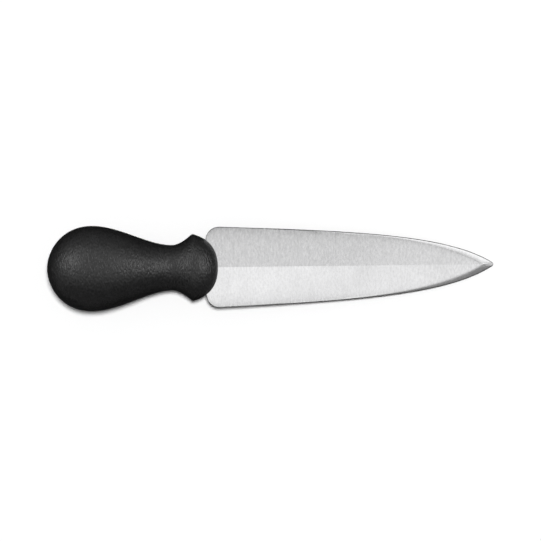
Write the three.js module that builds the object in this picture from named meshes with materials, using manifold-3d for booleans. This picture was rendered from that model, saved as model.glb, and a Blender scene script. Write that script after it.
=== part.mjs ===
// Hard-cheese knife: a broad spear-shaped blade with a ridge down the middle of each side, and a
// pear-shaped black handle moulded in two shots on the blade's tang.
// Millimetres. The knife lies on a table with its tip towards +X and the flat of its blade up.
import * as THREE from 'three';
import { mergeVertices } from 'three/addons/utils/BufferGeometryUtils.js';
import Module from 'manifold-3d';

// Blade: lengths run from the nose of the handle, where the blade comes out
const BLADE_LENGTH = 160;
const HEEL_WIDTH = 46.6;
const HEEL_SETBACK = 6.6;
const HEEL_CORNER_RADIUS = 7.5;
const HEEL_TAPER_DEG = 2.2;
const HEEL_EDGE_PULL = 82;
const TIP_HALF_ANGLE_DEG = 32;
const TIP_EDGE_PULL = 30;
const TIP_FLAT = 0.6;
const RIDGE_THICKNESS = 3;
const SHOULDER_THICKNESS = 0.9;
const EDGE_THICKNESS = 0.3;
const BEVEL_ANGLE_DEG = 25;

// Tang: the flat of the sheet that the handle is moulded on, with holes that key it
const TANG_WIDTH = 14;
const TANG_LENGTH = 70;
const TANG_RUN_INTO_BLADE = 3.5;
const KEY_HOLE_DIAMETER = 6;
const KEY_HOLE_COUNT = 3;
const KEY_HOLE_PITCH = 18;
const KEY_HOLE_END_MARGIN = 10;

// Handle: widths lie in the plane of the blade, and depths stand up from it. A pull is how far a curve
// runs on straight from a place before it bends away.
const HANDLE_LENGTH = 98.4;
const BUTT_PULL = 10.5;
const BULB_FROM_NOSE = 72.6;
const BULB_REAR_PULL = 17.3;
const BULB_WIDTH = 49.1;
const BULB_WIDTH_PULL = 16.4;
const BULB_DEPTH = 42;
const BULB_DEPTH_PULL = 26;
const NECK_FROM_NOSE = 26.2;
const NECK_FRONT_PULL = 4.6;
const NECK_WIDTH = 26.1;
const NECK_WIDTH_PULL = 14;
const NECK_DEPTH = 22.4;
const NECK_DEPTH_PULL = 9;
const FLARE_FROM_NOSE = 14.5;
const FLARE_WIDTH = 38.8;
const FLARE_DEPTH = 30;
const FLARE_SHOULDER_RUN = 6.3;
const FLARE_SHOULDER_FALL = 1.7;
const NOSE_WIDTH_PULL = 12;
const NOSE_DEPTH_PULL = 9.5;

// The two shots of the handle
const SKIN_WALL = 3.5;
const NOSE_WEB = 5;
const FIT_GAP = 0.3;

// How finely round stretches are cut into flats
const EDGE_STATIONS = 56;
const PROFILE_STEPS = 9;
const ROUND_STEPS = 40;

const wasm = await Module();
wasm.setup();

const steel = new THREE.MeshStandardMaterial({ color: 0xc8caca, roughness: 0.32, metalness: 1 });
const skinPlastic = new THREE.MeshStandardMaterial({ color: 0x1c1c1d, roughness: 0.55, metalness: 0 });
const corePlastic = new THREE.MeshStandardMaterial({ color: 0x2b2b2c, roughness: 0.7, metalness: 0 });

const heelX = -HEEL_SETBACK;
const facetFall = (RIDGE_THICKNESS - SHOULDER_THICKNESS) / HEEL_WIDTH;
const bevelRise = Math.tan(THREE.MathUtils.degToRad(BEVEL_ANGLE_DEG));

// The handle is oval: one half-outline lies in the plane of the blade, the other stands up from it
const widths = {
  bulb: BULB_WIDTH / 2,
  bulbPull: BULB_WIDTH_PULL,
  neck: NECK_WIDTH / 2,
  neckPull: NECK_WIDTH_PULL,
  flare: FLARE_WIDTH / 2,
  nosePull: NOSE_WIDTH_PULL,
};
const depths = {
  bulb: BULB_DEPTH / 2,
  bulbPull: BULB_DEPTH_PULL,
  neck: NECK_DEPTH / 2,
  neckPull: NECK_DEPTH_PULL,
  flare: FLARE_DEPTH / 2,
  nosePull: NOSE_DEPTH_PULL,
};

// A closed geometry as a solid that can be joined and cut
function solidOf(geometry) {
  geometry.deleteAttribute('normal');
  geometry.deleteAttribute('uv');
  const merged = mergeVertices(geometry);
  return new wasm.Manifold(new wasm.Mesh({
    numProp: 3,
    vertProperties: new Float32Array(merged.attributes.position.array),
    triVerts: new Uint32Array(merged.index.array),
  }));
}

function namedMesh(name, solid, material) {
  const { vertProperties, triVerts } = solid.getMesh();
  const geometry = new THREE.BufferGeometry();
  geometry.setAttribute('position', new THREE.BufferAttribute(vertProperties, 3));
  geometry.setIndex(new THREE.BufferAttribute(triVerts, 1));
  geometry.computeVertexNormals();
  const mesh = new THREE.Mesh(geometry, material);
  mesh.name = name;
  return mesh;
}

// A flat outline in the plane of the blade, thickened evenly to both sides
function plate(shape, thickness) {
  const geometry = new THREE.ExtrudeGeometry(shape, { depth: thickness, bevelEnabled: false });
  geometry.translate(0, 0, -thickness / 2);
  return solidOf(geometry);
}

// The height of an outline's points at a place along the knife
function heightAt(points, x) {
  const next = Math.max(points.findIndex((p) => p.x >= x), 1);
  const from = points[next - 1];
  const to = points[next];
  return THREE.MathUtils.mapLinear(x, from.x, to.x, from.y, to.y);
}

// The places along an outline, each with the half-width and half-depth of the oval there
function ovals(outlineOf) {
  const heights = outlineOf(depths).getPoints(PROFILE_STEPS);
  return outlineOf(widths).getPoints(PROFILE_STEPS).map(({ x, y }) => {
    return { x, width: Math.max(y, 0), depth: heightAt(heights, x) };
  });
}

// A body about the knife's axis: turned to its widths, then pressed to its depths
function turned(outlineOf) {
  const rings = ovals(outlineOf);
  const profile = rings.map(({ x, width }) => new THREE.Vector2(width, x));
  const geometry = new THREE.LatheGeometry(profile, ROUND_STEPS);
  const { position } = geometry.attributes;
  for (let i = 0; i < position.count; i += 1) {
    const { width, depth } = rings[i % rings.length];
    position.setZ(i, width > 0 ? (position.getZ(i) * depth) / width : 0);
  }
  geometry.rotateZ(-Math.PI / 2);
  return solidOf(geometry);
}

// One cutting edge in plan: round the heel corner, then along a long bow to the tip
function edgeOutline() {
  const taper = THREE.MathUtils.degToRad(HEEL_TAPER_DEG);
  const tip = THREE.MathUtils.degToRad(TIP_HALF_ANGLE_DEG);
  const edge = new THREE.Path();
  const cornerY = HEEL_WIDTH / 2 - HEEL_CORNER_RADIUS;
  const cornerX = heelX + HEEL_CORNER_RADIUS;
  edge.absarc(cornerX, cornerY, HEEL_CORNER_RADIUS, Math.PI, Math.PI / 2 - taper, true);
  const from = edge.currentPoint;
  edge.bezierCurveTo(
    from.x + HEEL_EDGE_PULL * Math.cos(taper),
    from.y - HEEL_EDGE_PULL * Math.sin(taper),
    BLADE_LENGTH - TIP_EDGE_PULL * Math.cos(tip),
    TIP_FLAT / 2 + TIP_EDGE_PULL * Math.sin(tip),
    BLADE_LENGTH,
    TIP_FLAT / 2,
  );
  return edge;
}

// Half the blade's thickness this far from its ridge: the shallow facet or, near the edge, the bevel
function halfThickness(fromRidge, halfWidth) {
  const facet = RIDGE_THICKNESS / 2 - facetFall * fromRidge;
  const bevel = EDGE_THICKNESS / 2 + bevelRise * (halfWidth - fromRidge);
  return Math.min(facet, bevel);
}

// The blade's section at one station: on each side the edge flat, the bevel, the facet and the ridge.
// Close to the tip the bevels meet in the ridge, and the point between them lies on the bevel.
function bladeSection({ x, y: halfWidth }) {
  const spare = EDGE_THICKNESS / 2 + bevelRise * halfWidth - RIDGE_THICKNESS / 2;
  const bevelTop = Math.max(spare / (bevelRise - facetFall), halfWidth / 2);
  const across = [halfWidth, bevelTop, 0, -bevelTop, -halfWidth];
  const top = across.map((y) => new THREE.Vector3(x, y, halfThickness(Math.abs(y), halfWidth)));
  const bottom = top.map((p) => new THREE.Vector3(p.x, -p.y, -p.z));
  return [...top, ...bottom];
}

// A closed skin over rings of equal count, with a flat cap on each end
function loft(rings) {
  const count = rings[0].length;
  const index = [];
  for (let r = 0; r + 1 < rings.length; r += 1) {
    for (let i = 0; i < count; i += 1) {
      const a = r * count + i;
      const b = r * count + ((i + 1) % count);
      index.push(a, b, a + count, b, b + count, a + count);
    }
  }
  const last = (rings.length - 1) * count;
  for (let i = 1; i + 1 < count; i += 1) {
    index.push(0, i + 1, i);
    index.push(last, last + i, last + i + 1);
  }
  const geometry = new THREE.BufferGeometry().setFromPoints(rings.flat());
  geometry.setIndex(index);
  return solidOf(geometry);
}

// The tang with its rounded end and key holes; grown, it is the room that the plastic leaves for it
function tang(grow) {
  const half = TANG_WIDTH / 2 + grow;
  const frontX = heelX + TANG_RUN_INTO_BLADE + grow;
  const endX = heelX - TANG_LENGTH;
  const roundX = endX + TANG_WIDTH / 2;
  const shape = new THREE.Shape();
  shape.moveTo(frontX, half);
  shape.lineTo(roundX, half);
  shape.absarc(roundX, 0, half, Math.PI / 2, Math.PI * 1.5, false);
  shape.lineTo(frontX, -half);
  for (let i = 0; i < KEY_HOLE_COUNT; i += 1) {
    const hole = new THREE.Path();
    const holeX = endX + KEY_HOLE_END_MARGIN + i * KEY_HOLE_PITCH;
    hole.absarc(holeX, 0, KEY_HOLE_DIAMETER / 2 - grow, 0, Math.PI * 2, true);
    shape.holes.push(hole);
  }
  return plate(shape, RIDGE_THICKNESS + 2 * grow);
}

function bladeStations() {
  return edgeOutline().getSpacedPoints(EDGE_STATIONS);
}

function blade() {
  return loft(bladeStations().map(bladeSection)).add(tang(0));
}

// The room for the blade's heel: its section with the fit gap, out through the nose and both sides
function heelSlot() {
  const reach = HEEL_WIDTH / 2;
  const middle = RIDGE_THICKNESS / 2 + FIT_GAP;
  const side = SHOULDER_THICKNESS / 2 + FIT_GAP;
  const section = new THREE.Shape();
  section.moveTo(middle, 0);
  section.lineTo(side, reach);
  section.lineTo(-side, reach);
  section.lineTo(-middle, 0);
  section.lineTo(-side, -reach);
  section.lineTo(side, -reach);
  const depth = HEEL_SETBACK + 2 * FIT_GAP;
  const geometry = new THREE.ExtrudeGeometry(section, { depth, bevelEnabled: false });
  geometry.rotateY(Math.PI / 2);
  geometry.translate(heelX - FIT_GAP, 0, 0);
  return solidOf(geometry);
}

// The handle's outline from the butt over the bulb to the neck, with its surface moved in by inset
function bulbOutline({ bulb, bulbPull, neck, neckPull }, inset) {
  const buttX = inset - HANDLE_LENGTH;
  const bulbX = -BULB_FROM_NOSE;
  const bulbY = bulb - inset;
  const neckX = -NECK_FROM_NOSE;
  const neckY = neck - inset;
  const outline = new THREE.Path();
  outline.moveTo(buttX, 0);
  outline.bezierCurveTo(buttX, BUTT_PULL, bulbX - BULB_REAR_PULL, bulbY, bulbX, bulbY);
  outline.bezierCurveTo(bulbX + bulbPull, bulbY, neckX - neckPull, neckY, neckX, neckY);
  return outline;
}

function skinOutline(sizes) {
  const { neck, flare, nosePull } = sizes;
  const flareX = -FLARE_FROM_NOSE;
  const shoulderX = flareX + FLARE_SHOULDER_RUN;
  const outline = bulbOutline(sizes, 0);
  outline.quadraticCurveTo(-NECK_FROM_NOSE + NECK_FRONT_PULL, neck, flareX, flare);
  outline.bezierCurveTo(shoulderX, flare - FLARE_SHOULDER_FALL, 0, nosePull, 0, 0);
  return outline;
}

// The first shot, or with no gap the hollow that the second shot leaves for it
function coreBody(gap) {
  const inset = SKIN_WALL + gap;
  const frontX = heelX - NOSE_WEB - gap;
  return turned((sizes) => {
    const outline = bulbOutline(sizes, inset);
    outline.lineTo(frontX, sizes.neck - inset);
    outline.lineTo(frontX, 0);
    return outline;
  });
}

function handleCore() {
  return coreBody(FIT_GAP).subtract(tang(FIT_GAP));
}

function handleSkin() {
  return turned(skinOutline).subtract(coreBody(0)).subtract(tang(FIT_GAP)).subtract(heelSlot());
}

// The angle at which the laid-down knife rests on its handle and on the ridge under its blade
function lyingAngle() {
  const handle = ovals(skinOutline);
  const bare = bladeStations().filter(({ x }) => x > 0);
  const leanFrom = ({ x, y: halfWidth }) => {
    const ridge = halfThickness(0, halfWidth);
    return Math.max(...handle.map((oval) => Math.atan2(oval.depth - ridge, x - oval.x)));
  };
  return Math.min(...bare.map(leanFrom));
}

const knife = new THREE.Group();
knife.add(
  namedMesh('blade', blade(), steel),
  namedMesh('handle_core', handleCore(), corePlastic),
  namedMesh('handle_skin', handleSkin(), skinPlastic),
);
knife.rotation.y = lyingAngle();

// The origin is on the table, under the middle of the knife
const extent = new THREE.Box3().setFromObject(knife, true);
const middle = extent.getCenter(new THREE.Vector3());
knife.position.set(-middle.x, -middle.y, -extent.min.z);

const cheeseKnife = new THREE.Group();
cheeseKnife.add(knife);

export default cheeseKnife;
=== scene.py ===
# Hard-cheese knife lying on a white table, seen from straight above: a satin-ground spear blade with a
# ridge down its middle, and a pear-shaped black handle moulded in two shots on the blade's tang.
import math

import bmesh
import bpy
from mathutils import Matrix, Vector
from mathutils.geometry import interpolate_bezier


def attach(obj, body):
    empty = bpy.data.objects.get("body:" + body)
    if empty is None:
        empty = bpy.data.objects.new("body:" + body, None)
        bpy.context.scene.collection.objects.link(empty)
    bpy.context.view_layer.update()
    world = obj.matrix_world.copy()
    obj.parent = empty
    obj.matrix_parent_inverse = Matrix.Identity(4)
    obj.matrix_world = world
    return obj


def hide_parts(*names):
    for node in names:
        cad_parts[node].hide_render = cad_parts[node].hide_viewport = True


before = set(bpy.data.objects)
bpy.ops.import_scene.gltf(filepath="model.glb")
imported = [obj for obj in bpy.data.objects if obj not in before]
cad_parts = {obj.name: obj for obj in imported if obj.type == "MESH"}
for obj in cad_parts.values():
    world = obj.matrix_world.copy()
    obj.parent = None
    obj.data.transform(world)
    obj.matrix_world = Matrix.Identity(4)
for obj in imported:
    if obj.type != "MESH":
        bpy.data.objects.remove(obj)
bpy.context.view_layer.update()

MM = 0.001

# Blade: lengths run from the nose of the handle, where the blade comes out
BLADE_LENGTH = 160 * MM
HEEL_WIDTH = 46.6 * MM
HEEL_SETBACK = 6.6 * MM
HEEL_X = -HEEL_SETBACK
HEEL_CORNER_RADIUS = 7.5 * MM
HEEL_TAPER = math.radians(2.2)
HEEL_EDGE_PULL = 82 * MM
TIP_HALF_ANGLE = math.radians(32)
TIP_EDGE_PULL = 30 * MM
TIP_RADIUS = 1.4 * MM
TIP_ARC_END = math.radians(8)
RIDGE_THICKNESS = 3 * MM
SHOULDER_THICKNESS = 0.9 * MM
EDGE_THICKNESS = 0.3 * MM

# Grinding: a fall or rise is a slope across the blade, apart from the ridge's own fall towards the tip.
# Near the tip the bevel gets flatter and the ridge fades. Of the half blade, the facet keeps at least one
# part in ten, and the honed line takes at most one in three.
RIDGE_FALL = 0.0007
FACET_FALL = (RIDGE_THICKNESS - SHOULDER_THICKNESS) / HEEL_WIDTH
FACET_ROLL = 0.0065
FACET_ROLL_POWER = 8
FACET_LEAST_PART = 10
FACET_EASE_START = 60 * MM
FACET_EASE_END = 130 * MM
TIP_FACET_SHARE = 0.4
BEVEL_RISE = math.tan(math.radians(25))
BEVEL_CROWN = 0.03
BEVEL_EASE_START = 95 * MM
BEVEL_EASE_END = 137 * MM
TIP_BEVEL_RISE = math.tan(math.radians(16.7))
HONED_WIDTH = 0.42 * MM
HONED_MOST_PART = 3
HONED_RISE = math.tan(math.radians(48))

# Tang: the flat of the sheet inside the handle
TANG_WIDTH = 14 * MM
TANG_LENGTH = 70 * MM
TANG_RUN_INTO_BLADE = 3.5 * MM
KEY_HOLE_DIAMETER = 6 * MM
KEY_HOLE_COUNT = 3
KEY_HOLE_PITCH = 18 * MM
KEY_HOLE_END_MARGIN = 10 * MM

# Handle: widths lie in the plane of the blade, and depths stand up from it
HANDLE_LENGTH = 98.32 * MM
BUTT_PULL = 10.5 * MM
BULB_FROM_NOSE = 72.6 * MM
BULB_REAR_PULL = 17.3 * MM
NECK_FROM_NOSE = 26.2 * MM
NECK_FRONT_PULL = 4.6 * MM
FLARE_FROM_NOSE = 14.5 * MM
FLARE_SHOULDER_RUN = 6.75 * MM
FLARE_SHOULDER_FALL = 2 * MM
NOSE_LEAD = 0.2 * MM
WIDTHS = {"bulb": 24.55 * MM, "bulb_pull": 16.4 * MM, "neck": 13.05 * MM, "neck_pull": 14 * MM,
          "flare": 19.4 * MM, "nose_pull": 13.5 * MM, "rim_round": 0.5 * MM}
DEPTHS = {"bulb": 20.86 * MM, "bulb_pull": 26 * MM, "neck": 11.2 * MM, "neck_pull": 9 * MM,
          "flare": 15 * MM, "nose_pull": 10.5 * MM, "rim_round": 5 * MM}
SKIN_WALL = 3.5 * MM
NOSE_WEB = 5 * MM
FIT_GAP = 0.3 * MM

# The knife lies on its bulb and on the ridge under its blade
NOSE_PLACE = Vector((-30.6966, 0, 14.8939)) * MM
LYING_ANGLE = math.radians(4.972899)
LIE = Matrix.Translation(NOSE_PLACE) @ Matrix.Rotation(LYING_ANGLE, 4, "Y")

# How finely the shapes are drawn
HEEL_CORNER_STEPS = 28
TIP_STEPS = 8
BOW_POINTS = 150
BEVEL_STEPS = 6
FACET_SHARES = (0.04, 0.1, 0.2, 0.35, 0.6, 1)
TANG_END_STEPS = 32
KEY_HOLE_SIDES = 32
BULB_REAR_POINTS = 44
WAIST_POINTS = 56
FLARE_POINTS = 40
DOME_POINTS = 60
RIM_POINTS = 9
SKIN_STEPS = 144
CORE_STEPS = 96
BLADE_MERGE = 1e-7
TURNED_MERGE = 1e-6

# The sharpest angle, in degrees, that is still shaded as a curve
SATIN_CREASE = 1.1
BEVEL_CREASE = 9
SKIN_CREASE = 28

# Finishes: each pattern runs between two tones and two roughnesses, and cells are counts in a metre
SATIN_TONES = (0.615, 0.615, 0.62, 1), (0.785, 0.785, 0.79, 1)
SATIN_ROUGHNESS = 0.17, 0.25
BEVEL_TONES = (0.67, 0.67, 0.675, 1), (0.79, 0.79, 0.795, 1)
BEVEL_ROUGHNESS = 0.2, 0.28
SKIN_TONES = (0.0005, 0.0005, 0.0005, 1), (0.0095, 0.0095, 0.0098, 1)
SKIN_ROUGHNESS = 0.36, 0.5
CORE_TONES = (0.024, 0.024, 0.025, 1), (0.034, 0.034, 0.035, 1)
CORE_ROUGHNESS = 0.6, 0.75
GRIND_FINE_CELLS = (1050, 500, 500)
GRIND_BROAD_CELLS = (900, 60, 60)
GRIND_BROAD_SHARE = 0.25
GRIND_PATCH_CELLS = 60
GRIND_DEPTH = 0.02 * MM
GRIND_STRENGTH = 0.06
PEBBLE_CELLS = (1550, 670, 900)
PEBBLE_LUMP_SCALE = 0.95
PEBBLE_LUMP_SHARE = 0.4
PEBBLE_TONE_SHARE = 0.65
PEBBLE_DEPTH = 0.55 * MM
CLOUD_CELLS = 45
PLASTIC_IOR = 1.49
SEAM_FLAT = 0.05 * MM
SEAM_REACH = 0.22 * MM
SEAM_DEPTH = 0.1 * MM

# Table, card, light and picture
TABLE_REACH = 8
TABLE_WHITE = (0.94, 0.94, 0.94, 1)
CARD_REACH = (0.35, 0.25, 1)
CARD_LIFT = 0.02 * MM
CARD_BLACK = (0.02, 0.02, 0.02, 1)
WORLD_NEAR_SIDE, WORLD = 0.02, 0.2
SUN_STRENGTH = 2.9
SUN_SPREAD = math.radians(9)
SUN_DIRECTION = Vector((-0.03, -0.09, -1))
PICTURE_WIDTH = 541
PIXEL = 0.57645 * MM
LENS, SENSOR = 400, 36
CAMERA_ROLL = math.radians(-0.645)
CAMERA_REACH = 20
AIM_RIGHT, AIM_UP = -0.27 * PIXEL, -3.9 * PIXEL
AIM_HEIGHT = 15 * MM


def chain(bm, points):
    """A row of joined points, the start of a shape."""
    verts = [bm.verts.new(p) for p in points]
    return [bm.edges.new(pair) for pair in zip(verts, verts[1:])]


def verts_of(geom):
    """The vertices among what an operator made."""
    return [v for v in geom if isinstance(v, bmesh.types.BMVert)]


def piece_from(bm, name, materials):
    """The shape as an object at the origin."""
    mesh = bpy.data.meshes.new(name)
    bm.to_mesh(mesh)
    bm.free()
    for material in materials:
        mesh.materials.append(material)
    piece = bpy.data.objects.new(name, mesh)
    bpy.context.scene.collection.objects.link(piece)
    return piece


def carve(piece, tool, operation):
    """Joins the tool's shape to the piece, or cuts it out of the piece, and clears the tool away."""
    step = piece.modifiers.new(tool.name, "BOOLEAN")
    step.operation = operation
    step.solver = "EXACT"
    step.object = tool
    depsgraph = bpy.context.evaluated_depsgraph_get()
    shaped = bpy.data.meshes.new_from_object(piece.evaluated_get(depsgraph), depsgraph=depsgraph)
    piece.modifiers.clear()
    plain = piece.data
    name = plain.name
    piece.data = shaped
    bpy.data.meshes.remove(plain)
    shaped.name = name
    bpy.data.objects.remove(tool)


def lay_down(piece, creases):
    """Smooths each finish of the shape up to a crease angle, and lays it on the table with the knife."""
    mesh = piece.data
    mesh.transform(LIE)
    mesh.shade_smooth()
    bm = bmesh.new()
    bm.from_mesh(mesh)
    for e in bm.edges:
        crease = max(creases[f.material_index] for f in e.link_faces)
        e.smooth = e.calc_face_angle() < math.radians(crease)
    bm.to_mesh(mesh)
    bm.free()


# Blade

def edge_line():
    """One cutting edge in plan: round the heel corner, along a long bow, and round the tip."""
    centre = Vector((HEEL_X + HEEL_CORNER_RADIUS, HEEL_WIDTH / 2 - HEEL_CORNER_RADIUS, 0))
    sweep = math.pi / 2 + HEEL_TAPER
    heel = Vector((-HEEL_CORNER_RADIUS, 0, 0))
    corner = [
        centre + Matrix.Rotation(-sweep * i / HEEL_CORNER_STEPS, 3, "Z") @ heel
        for i in range(HEEL_CORNER_STEPS + 1)
    ]
    start = corner.pop()
    arc_start = math.pi / 2 - TIP_HALF_ANGLE
    arc = TIP_ARC_END - arc_start
    arc_centre = Vector((BLADE_LENGTH - TIP_RADIUS, 0, 0))
    foremost = Vector((TIP_RADIUS, 0, 0))
    rounding = [
        arc_centre + Matrix.Rotation(arc_start + arc * i / TIP_STEPS, 3, "Z") @ foremost
        for i in range(TIP_STEPS + 1)
    ]
    tip = rounding[0]
    along = Vector((math.cos(HEEL_TAPER), -math.sin(HEEL_TAPER), 0)) * HEEL_EDGE_PULL
    back = Vector((-math.cos(TIP_HALF_ANGLE), math.sin(TIP_HALF_ANGLE), 0)) * TIP_EDGE_PULL
    bow = interpolate_bezier(start, start + along, tip + back, tip, BOW_POINTS)
    return corner + bow[:-1] + rounding


def eased(x, start, end):
    """A share that grows smoothly from none at the start to all at the end."""
    share = min(max((x - start) / (end - start), 0), 1)
    return share * share * (3 - 2 * share)


def bevel_rise(edge):
    """The bevel's slope, which eases towards the tip and so widens the bevel there."""
    return BEVEL_RISE + (TIP_BEVEL_RISE - BEVEL_RISE) * eased(edge.x, BEVEL_EASE_START, BEVEL_EASE_END)


def facet_fall(edge):
    """The facet's slope, which eases towards the tip and so lets the ridge fade there."""
    return FACET_FALL * (1 - (1 - TIP_FACET_SHARE) * eased(edge.x, FACET_EASE_START, FACET_EASE_END))


def bevel_top(edge):
    """How far from the ridge the bevel ends, or close to the ridge where the two bevels meet in it."""
    spare = EDGE_THICKNESS / 2 + bevel_rise(edge) * edge.y - RIDGE_THICKNESS / 2
    return max(spare / (bevel_rise(edge) - FACET_FALL - FACET_ROLL), edge.y / FACET_LEAST_PART)


def honed_point(edge):
    """Where the steep honed line along the edge meets the bevel."""
    inward = min(HONED_WIDTH, edge.y / HONED_MOST_PART)
    return Vector((edge.x, edge.y - inward, HONED_RISE * inward))


def facet_point(edge, share):
    """A point on the facet, a share of the way from the bevel to the ridge. It rolls off at the bevel."""
    top = bevel_top(edge)
    y = top * (1 - share)
    border = RIDGE_THICKNESS / 2 - RIDGE_FALL * max(edge.x, 0) - FACET_FALL * top
    facet = border + facet_fall(edge) * (top - y) - FACET_ROLL * top * (1 - share) ** FACET_ROLL_POWER
    bevel = EDGE_THICKNESS / 2 + bevel_rise(edge) * (edge.y - y)
    return Vector((edge.x, y, min(facet, bevel)))


def bevel_point(edge, share):
    """A point on the crowned bevel, a share of the way from the honed line to the facet."""
    point = honed_point(edge).lerp(facet_point(edge, 0), share)
    width = honed_point(edge).y - bevel_top(edge)
    return point + Vector((0, 0, 4 * BEVEL_CROWN * width * share * (1 - share)))


def grind(bm, row, stations, place, finish):
    """Carries a row along the half blade to its next line, station by station."""
    station = bm.verts.layers.int["station"]
    grown = bmesh.ops.extrude_edge_only(bm, edges=row)["geom"]
    line = sorted(verts_of(grown), key=lambda v: v[station])
    for v in line:
        v.co = place(stations[v[station]])
        for f in v.link_faces:
            f.material_index = finish
    return [bm.edges.get(pair) for pair in zip(line, line[1:])]


def blade_blank(materials):
    """The ground blade without its tang: one quarter is drawn out, then mirrored twice."""
    stations = edge_line()
    bm = bmesh.new()
    station = bm.verts.layers.int.new("station")
    row = chain(bm, stations)
    bm.verts.ensure_lookup_table()
    for i, v in enumerate(bm.verts):
        v[station] = i
    for step in range(BEVEL_STEPS + 1):
        row = grind(bm, row, stations, lambda edge: bevel_point(edge, step / BEVEL_STEPS), 1)
    for share in FACET_SHARES:
        row = grind(bm, row, stations, lambda edge: facet_point(edge, share), 0)
    for axis in ("Y", "Z"):
        whole = bm.verts[:] + bm.edges[:] + bm.faces[:]
        bmesh.ops.mirror(bm, geom=whole, matrix=Matrix.Identity(4), merge_dist=BLADE_MERGE, axis=axis)
    bmesh.ops.remove_doubles(bm, verts=bm.verts, dist=BLADE_MERGE)
    bmesh.ops.holes_fill(bm, edges=[e for e in bm.edges if e.is_boundary], sides=0)
    bmesh.ops.recalc_face_normals(bm, faces=bm.faces)
    return piece_from(bm, "blade_ground", materials)


def tang_plate(materials, grow=0.0):
    """The flat tang with its rounded end; grown, it is the room that the plastic leaves for it."""
    half = TANG_WIDTH / 2 + grow
    front = HEEL_X + TANG_RUN_INTO_BLADE + grow
    round_x = HEEL_X - TANG_LENGTH + TANG_WIDTH / 2
    thick = RIDGE_THICKNESS + 2 * grow
    bm = bmesh.new()
    side = bm.verts.new((round_x, half, -thick / 2))
    bmesh.ops.spin(
        bm, geom=[side], cent=(round_x, 0, -thick / 2), axis=(0, 0, 1), angle=math.pi, steps=TANG_END_STEPS)
    bm.verts.new((front, -half, -thick / 2))
    bm.verts.new((front, half, -thick / 2))
    bm.verts.ensure_lookup_table()
    floor = bm.faces.new(bm.verts)
    raised = bmesh.ops.extrude_face_region(bm, geom=[floor])["geom"]
    bmesh.ops.translate(bm, vec=(0, 0, thick), verts=verts_of(raised))
    bmesh.ops.recalc_face_normals(bm, faces=bm.faces)
    return piece_from(bm, "tang", materials)


def key_holes(materials):
    """The punch for the tang's holes."""
    radius = KEY_HOLE_DIAMETER / 2
    bm = bmesh.new()
    for i in range(KEY_HOLE_COUNT):
        x = HEEL_X - TANG_LENGTH + KEY_HOLE_END_MARGIN + i * KEY_HOLE_PITCH
        bmesh.ops.create_cone(
            bm, cap_ends=True, segments=KEY_HOLE_SIDES, radius1=radius, radius2=radius,
            depth=4 * RIDGE_THICKNESS, matrix=Matrix.Translation((x, 0, 0)))
    return piece_from(bm, "key_holes", materials)


def make_blade(steel, ground_steel):
    """The blade with its tang, lying as the knife lies; its bevels have the second finish."""
    finishes = (steel, ground_steel)
    blade = blade_blank(finishes)
    carve(blade, tang_plate(finishes), "UNION")
    carve(blade, key_holes(finishes), "DIFFERENCE")
    lay_down(blade, (SATIN_CREASE, BEVEL_CREASE))
    return blade


# Handle

def rim_rounded(before, after, reach):
    """Two runs of points that meet in the rim, with the corner between them rounded off."""
    rim = before[-1]
    before = [p for p in before if (p - rim).length > reach]
    after = [p for p in after if (p - rim).length > reach]
    start, end = before[-1], after[0]
    bend = interpolate_bezier(start, start.lerp(rim, 2 / 3), end.lerp(rim, 2 / 3), end, RIM_POINTS)
    return before[:-1] + bend + after[1:]


def bulb_line(sizes, inset):
    """The handle's outline from the butt over the bulb to the neck, with its surface moved in."""
    butt = Vector((inset - HANDLE_LENGTH, 0, 0))
    bulb = Vector((-BULB_FROM_NOSE, sizes["bulb"] - inset, 0))
    neck = Vector((-NECK_FROM_NOSE, sizes["neck"] - inset, 0))
    round_butt = butt + Vector((0, BUTT_PULL, 0))
    behind_bulb = bulb - Vector((BULB_REAR_PULL, 0, 0))
    past_bulb = bulb + Vector((sizes["bulb_pull"], 0, 0))
    behind_neck = neck - Vector((sizes["neck_pull"], 0, 0))
    rear = interpolate_bezier(butt, round_butt, behind_bulb, bulb, BULB_REAR_POINTS)
    waist = interpolate_bezier(bulb, past_bulb, behind_neck, neck, WAIST_POINTS)
    return rear[:-1] + waist


def skin_line(sizes):
    """The whole handle's outline, from the butt to the nose."""
    neck = Vector((-NECK_FROM_NOSE, sizes["neck"], 0))
    rim = Vector((-FLARE_FROM_NOSE, sizes["flare"], 0))
    pull = neck + Vector((NECK_FRONT_PULL, 0, 0))
    flare = interpolate_bezier(neck, neck.lerp(pull, 2 / 3), rim.lerp(pull, 2 / 3), rim, FLARE_POINTS)
    shoulder = rim + Vector((FLARE_SHOULDER_RUN, -FLARE_SHOULDER_FALL, 0))
    nose = Vector((NOSE_LEAD, 0, 0))
    round_nose = nose + Vector((0, sizes["nose_pull"], 0))
    dome = interpolate_bezier(rim, shoulder, round_nose, nose, DOME_POINTS)
    return bulb_line(sizes, 0)[:-1] + rim_rounded(flare, dome, sizes["rim_round"])


def core_line(sizes):
    """The outline of the room for the core, which ends a web's thickness behind the heel."""
    front = HEEL_X - NOSE_WEB
    line = bulb_line(sizes, SKIN_WALL)
    return line + [Vector((front, line[-1].y, 0)), Vector((front, 0, 0))]


def height_at(line, x):
    """The height of an outline at a place along the knife."""
    for before, after in zip(line, line[1:]):
        if before.x <= x <= after.x and after.x > before.x:
            return before.y + (after.y - before.y) * (x - before.x) / (after.x - before.x)
    return line[-1].y


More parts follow.
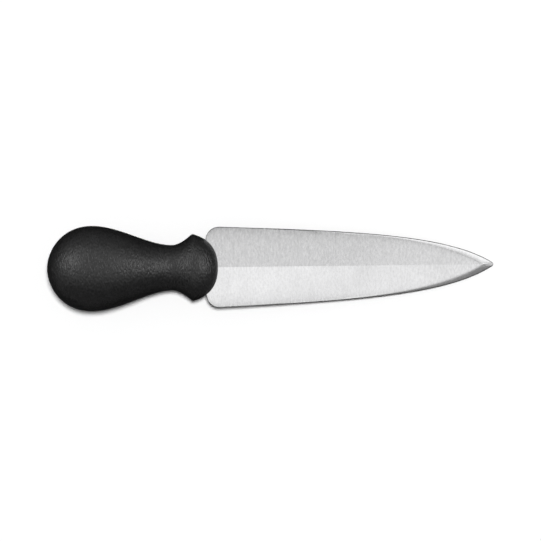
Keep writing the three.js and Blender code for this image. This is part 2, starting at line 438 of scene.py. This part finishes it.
def turned(line_of, name, steps, materials):
    """An oval body about the knife's axis: turned to its widths, then pressed to its depths."""
    bm = bmesh.new()
    chain(bm, line_of(WIDTHS))
    outline = bm.verts[:] + bm.edges[:]
    bmesh.ops.spin(
        bm, geom=outline, cent=(0, 0, 0), axis=(1, 0, 0), angle=2 * math.pi, steps=steps, use_merge=True)
    bmesh.ops.remove_doubles(bm, verts=bm.verts, dist=TURNED_MERGE)
    widths, depths = line_of(WIDTHS), line_of(DEPTHS)
    for v in bm.verts:
        width = height_at(widths, v.co.x)
        if width > TURNED_MERGE:
            v.co.z *= height_at(depths, v.co.x) / width
    bmesh.ops.recalc_face_normals(bm, faces=bm.faces)
    return piece_from(bm, name, materials)


def heel_slot(materials):
    """The room for the blade's heel: its section with the fit gap, out through the nose and both sides."""
    reach = HEEL_WIDTH / 2
    middle = RIDGE_THICKNESS / 2 + FIT_GAP
    side = SHOULDER_THICKNESS / 2 + FIT_GAP
    back = HEEL_X - FIT_GAP
    bm = bmesh.new()
    section = [(0, middle), (reach, side), (reach, -side), (0, -middle), (-reach, -side), (-reach, side)]
    end = bm.faces.new([bm.verts.new((back, y, z)) for y, z in section])
    drawn = bmesh.ops.extrude_face_region(bm, geom=[end])["geom"]
    bmesh.ops.translate(bm, vec=(HEEL_SETBACK + 2 * FIT_GAP, 0, 0), verts=verts_of(drawn))
    bmesh.ops.recalc_face_normals(bm, faces=bm.faces)
    return piece_from(bm, "heel_slot", materials)


def make_skin(plastic):
    """The handle's outer shot, with the rooms for the core, the tang and the heel cut out of it."""
    skin = turned(skin_line, "handle_skin_moulded", SKIN_STEPS, [plastic])
    carve(skin, turned(core_line, "core_room", CORE_STEPS, [plastic]), "DIFFERENCE")
    carve(skin, tang_plate([plastic], FIT_GAP), "DIFFERENCE")
    carve(skin, heel_slot([plastic]), "DIFFERENCE")
    lay_down(skin, (SKIN_CREASE,))
    return skin


# Finishes

def node(tree, kind, inputs=(), **settings):
    """A new node, with its inputs linked where they are given as outputs, and set where they are values."""
    made = tree.nodes.new(kind)
    for key, value in settings.items():
        setattr(made, key, value)
    for key, value in dict(inputs).items():
        if hasattr(value, "is_output"):
            tree.links.new(value, made.inputs[key])
        else:
            made.inputs[key].default_value = value
    return made


def scratch_group():
    """Fine grinding lines that run across the blade, with slow unevenness under them."""
    tree = bpy.data.node_groups.new("cross_grind", "ShaderNodeTree")
    face = tree.interface
    face.new_socket("Place", in_out="INPUT", socket_type="NodeSocketVector")
    face.new_socket("Lines", in_out="OUTPUT", socket_type="NodeSocketFloat")
    face.new_socket("Patches", in_out="OUTPUT", socket_type="NodeSocketFloat")
    place = node(tree, "NodeGroupInput").outputs["Place"]
    fine = node(tree, "ShaderNodeMapping", {"Vector": place, "Scale": GRIND_FINE_CELLS})
    broad = node(tree, "ShaderNodeMapping", {"Vector": place, "Scale": GRIND_BROAD_CELLS})
    fine_noise = node(tree, "ShaderNodeTexNoise", {"Vector": fine.outputs[0], "Scale": 1, "Detail": 2})
    broad_noise = node(tree, "ShaderNodeTexNoise", {"Vector": broad.outputs[0], "Scale": 1, "Detail": 2})
    lines = node(tree, "ShaderNodeMix", {
        0: GRIND_BROAD_SHARE, 2: fine_noise.outputs[0], 3: broad_noise.outputs[0]})
    patches = node(tree, "ShaderNodeTexNoise", {"Vector": place, "Scale": GRIND_PATCH_CELLS, "Detail": 3})
    out = node(tree, "NodeGroupOutput")
    tree.links.new(lines.outputs[0], out.inputs["Lines"])
    tree.links.new(patches.outputs[0], out.inputs["Patches"])
    return tree


def mould_group():
    """The pebble of a spark-eroded mould, and the slow cloudiness of moulded plastic."""
    tree = bpy.data.node_groups.new("mould_pebble", "ShaderNodeTree")
    face = tree.interface
    face.new_socket("Place", in_out="INPUT", socket_type="NodeSocketVector")
    face.new_socket("Pebble", in_out="OUTPUT", socket_type="NodeSocketFloat")
    face.new_socket("Cloud", in_out="OUTPUT", socket_type="NodeSocketFloat")
    place = node(tree, "NodeGroupInput").outputs["Place"]
    drawn = node(tree, "ShaderNodeMapping", {"Vector": place, "Scale": PEBBLE_CELLS}).outputs[0]
    grains = node(tree, "ShaderNodeTexNoise", {"Vector": drawn, "Scale": 1, "Detail": 0.5})
    lumps = node(tree, "ShaderNodeTexVoronoi", {
        "Vector": drawn, "Scale": PEBBLE_LUMP_SCALE}, feature="SMOOTH_F1")
    pebble = node(tree, "ShaderNodeMix", {0: PEBBLE_LUMP_SHARE, 2: grains.outputs[0], 3: lumps.outputs[0]})
    cloud = node(tree, "ShaderNodeTexNoise", {"Vector": place, "Scale": CLOUD_CELLS, "Detail": 4})
    out = node(tree, "NodeGroupOutput")
    tree.links.new(pebble.outputs[0], out.inputs["Pebble"])
    tree.links.new(cloud.outputs[0], out.inputs["Cloud"])
    return tree


def finish_start(name):
    """A new finish: its material, tree and shader, and the place on the piece that its patterns read."""
    material = bpy.data.materials.new(name)
    material.use_nodes = True
    tree = material.node_tree
    shader = tree.nodes["Principled BSDF"]
    place = node(tree, "ShaderNodeTexCoord").outputs["Object"]
    return material, tree, shader, place


def steel_finish(name, marks, tones, roughness, depth):
    """Bare stainless steel, ground across the blade."""
    material, tree, shader, place = finish_start(name)
    shader.inputs["Metallic"].default_value = 1
    grind_marks = node(tree, "ShaderNodeGroup", {}, node_tree=marks)
    tree.links.new(place, grind_marks.inputs["Place"])
    lines, patches = grind_marks.outputs["Lines"], grind_marks.outputs["Patches"]
    shade = node(tree, "ShaderNodeMapRange", {"Value": lines, "From Min": 0.3, "From Max": 0.7})
    colour = node(tree, "ShaderNodeMix", {0: shade.outputs[0], 6: tones[0], 7: tones[1]}, data_type="RGBA")
    tree.links.new(colour.outputs[2], shader.inputs["Base Color"])
    worn = node(tree, "ShaderNodeMath", {0: lines, 1: patches}, operation="ADD")
    rough = node(tree, "ShaderNodeMapRange", {
        "Value": worn.outputs[0], "From Min": 0.7, "From Max": 1.3,
        "To Min": roughness[0], "To Max": roughness[1]})
    tree.links.new(rough.outputs[0], shader.inputs["Roughness"])
    bump = node(tree, "ShaderNodeBump", {"Height": lines, "Strength": depth, "Distance": GRIND_DEPTH})
    tree.links.new(bump.outputs[0], shader.inputs["Normal"])
    return material


def plastic_finish(name, pebble, tones, roughness, specular, depth, seam):
    """Black polypropylene with a pebbled mould texture, and a faint parting line in the blade's plane."""
    material, tree, shader, place = finish_start(name)
    shader.inputs["IOR"].default_value = PLASTIC_IOR
    shader.inputs["Specular IOR Level"].default_value = specular
    grain = node(tree, "ShaderNodeGroup", {}, node_tree=pebble)
    tree.links.new(place, grain.inputs["Place"])
    height, cloud = grain.outputs["Pebble"], grain.outputs["Cloud"]
    blotch = node(tree, "ShaderNodeMapRange", {"Value": cloud, "From Min": 0.3, "From Max": 0.7})
    speck = node(tree, "ShaderNodeMapRange", {"Value": height, "From Min": 0.35, "From Max": 0.65})
    shade = node(tree, "ShaderNodeMix", {0: PEBBLE_TONE_SHARE, 2: blotch.outputs[0], 3: speck.outputs[0]})
    colour = node(tree, "ShaderNodeMix", {0: shade.outputs[0], 6: tones[0], 7: tones[1]}, data_type="RGBA")
    tree.links.new(colour.outputs[2], shader.inputs["Base Color"])
    rough = node(tree, "ShaderNodeMapRange", {
        "Value": height, "From Min": 0.25, "From Max": 0.75,
        "To Min": roughness[0], "To Max": roughness[1]})
    tree.links.new(rough.outputs[0], shader.inputs["Roughness"])
    bump = node(tree, "ShaderNodeBump", {"Height": height, "Strength": depth, "Distance": PEBBLE_DEPTH})
    normal = bump.outputs[0]
    if seam:
        turn = LIE.inverted()
        level = node(tree, "ShaderNodeMapping", {
            "Vector": place, "Location": turn.to_translation(), "Rotation": turn.to_euler()})
        split = node(tree, "ShaderNodeSeparateXYZ", {0: level.outputs[0]})
        away = node(tree, "ShaderNodeMath", {0: split.outputs["Z"]}, operation="ABSOLUTE")
        ridge = node(tree, "ShaderNodeMapRange", {
            "Value": away.outputs[0], "From Min": SEAM_FLAT, "From Max": SEAM_REACH,
            "To Min": 1, "To Max": 0}, interpolation_type="SMOOTHSTEP")
        line = node(tree, "ShaderNodeBump", {
            "Height": ridge.outputs[0], "Strength": seam, "Distance": SEAM_DEPTH, "Normal": normal})
        normal = line.outputs[0]
    tree.links.new(normal, shader.inputs["Normal"])
    return material


# Table, light and camera

def table():
    """The white table, wide enough to fill every view."""
    bm = bmesh.new()
    bmesh.ops.create_grid(bm, x_segments=1, y_segments=1, size=TABLE_REACH)
    material = bpy.data.materials.new("white_table")
    material.use_nodes = True
    shader = material.node_tree.nodes["Principled BSDF"]
    shader.inputs["Base Color"].default_value = TABLE_WHITE
    shader.inputs["Roughness"].default_value = 0.9
    shader.inputs["Specular IOR Level"].default_value = 0.1
    floor = piece_from(bm, "table", [material])


def dark_card():
    """A dark card under the knife that only reflections see: it keeps the white table out of its flanks."""
    bm = bmesh.new()
    bmesh.ops.create_grid(bm, x_segments=1, y_segments=1, size=1)
    bmesh.ops.scale(bm, vec=CARD_REACH, verts=bm.verts)
    bmesh.ops.translate(bm, vec=(0, 0, CARD_LIFT), verts=bm.verts)
    material = bpy.data.materials.new("dark_card")
    material.use_nodes = True
    shader = material.node_tree.nodes["Principled BSDF"]
    shader.inputs["Base Color"].default_value = CARD_BLACK
    shader.inputs["Roughness"].default_value = 0.9
    card = piece_from(bm, "dark_card", [material])
    card.visible_camera = card.visible_diffuse = card.visible_shadow = card.visible_transmission = False


def softbox(name, place, aim, size, brightness, only=None):
    """A soft panel that faces a point and shows in reflections; at a brightness of 1 it is white.
    Flags keep it on one piece only, where one is named."""
    lamp = bpy.data.lights.new(name, "AREA")
    lamp.shape = "RECTANGLE"
    lamp.size, lamp.size_y = size
    lamp.energy = brightness * math.pi * size[0] * size[1]
    box = bpy.data.objects.new(name, lamp)
    box.location = place
    box.rotation_euler = (Vector(aim) - Vector(place)).to_track_quat("-Z", "Y").to_euler()
    box.visible_camera = box.visible_diffuse = False
    if only:
        flagged = bpy.data.collections.new(name + "_flags")
        flagged.objects.link(only)
        box.light_linking.receiver_collection = flagged
    bpy.context.scene.collection.objects.link(box)


def studio(blade, skin):
    """A pale world that is darker on the near side, soft panels, and the sun that lights the table."""
    world = bpy.data.worlds.new("studio")
    bpy.context.scene.world = world
    world.use_nodes = True
    tree = world.node_tree
    side = node(tree, "ShaderNodeSeparateXYZ", {0: node(tree, "ShaderNodeTexCoord").outputs["Generated"]})
    walls = node(tree, "ShaderNodeMapRange", {
        "Value": side.outputs["Y"], "From Min": -1, "From Max": -0.5,
        "To Min": WORLD_NEAR_SIDE, "To Max": WORLD})
    tree.links.new(walls.outputs[0], tree.nodes["Background"].inputs["Strength"])
    tree.nodes["Background"].inputs["Color"].default_value = (1, 1, 1, 1)
    # Each panel's place, the point that it faces, its size, its brightness, and the piece it is flagged to
    softbox("overhead", (0.2, -0.065, 1.2), (0.2, -0.065, 0), (4, 0.57), 0.72)
    softbox("overhead_near", (-0.86, -0.1, 1.19), (-0.86, -0.1, 0), (2.42, 0.2), 0.44)
    softbox("far_handle", (0.2, 0.722, 0.958), (0.2, 0, 0), (4, 0.92), 1.04, skin)
    softbox("far_blade", (0.45, 0.818, 0.878), (0.45, 0, 0), (1.6, 0.688), 1.15, blade)
    softbox("far_wall", (0.2, 0.43, 1.12), (0.2, 0, 0), (4, 0.252), 0.8, blade)
    softbox("near_side", (0.2, -0.671, 0.995), (0.2, 0, 0), (4, 0.69), 0.06, blade)
    softbox("near_low", (0.2, -1.141, 0.371), (0.2, 0, 0), (4, 0.5), 0.26, blade)
    softbox("near_handle", (-0.1, -0.47, 1.1), (-0.1, 0, 0), (3, 0.36), 0.76, skin)
    softbox("butt_side", (-0.85, 0.3, 0.83), (-0.06, 0, 0.02), (0.75, 0.4), 6.2, skin)
    softbox("tip_side", (0.88, 0.14, 0.8), (-0.06, 0, 0.02), (0.5, 0.4), 8.8, skin)
    sun = bpy.data.lights.new("key", "SUN")
    sun.energy = SUN_STRENGTH
    sun.angle = SUN_SPREAD
    key = bpy.data.objects.new("key", sun)
    key.rotation_euler = SUN_DIRECTION.to_track_quat("-Z", "Y").to_euler()
    key.visible_glossy = False
    bpy.context.scene.collection.objects.link(key)


def camera():
    """Straight above, through a long lens, with the knife turned and set as in the photograph."""
    right = Vector((math.cos(CAMERA_ROLL), math.sin(CAMERA_ROLL), 0))
    up = Vector((-math.sin(CAMERA_ROLL), math.cos(CAMERA_ROLL), 0))
    distance = PICTURE_WIDTH * PIXEL * LENS / SENSOR
    data = bpy.data.cameras.new("camera")
    data.lens, data.sensor_width = LENS, SENSOR
    data.clip_end = CAMERA_REACH
    eye = bpy.data.objects.new("camera", data)
    eye.location = AIM_RIGHT * right + AIM_UP * up + Vector((0, 0, AIM_HEIGHT + distance))
    eye.rotation_euler = (0, 0, CAMERA_ROLL)
    bpy.context.scene.collection.objects.link(eye)
    bpy.context.scene.camera = eye


bpy.context.scene.view_settings.view_transform = "Standard"
camera()

marks, pebble = scratch_group(), mould_group()
satin = steel_finish("satin_steel", marks, SATIN_TONES, SATIN_ROUGHNESS, GRIND_STRENGTH)
bevelled = steel_finish("bevel_steel", marks, BEVEL_TONES, BEVEL_ROUGHNESS, GRIND_STRENGTH)
black = plastic_finish(
    "black_pebbled_plastic", pebble, SKIN_TONES, SKIN_ROUGHNESS, specular=0.45, depth=0.9, seam=0.5)
first_shot = plastic_finish(
    "black_plain_plastic", pebble, CORE_TONES, CORE_ROUGHNESS, specular=0.4, depth=0.05, seam=0)

blade = make_blade(satin, bevelled)
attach(blade, "root")
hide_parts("blade")

skin = make_skin(black)
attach(skin, "root")
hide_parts("handle_skin")

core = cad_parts["handle_core"]
core.data.materials.clear()
core.data.materials.append(first_shot)

table()
dark_card()
studio(blade, skin)
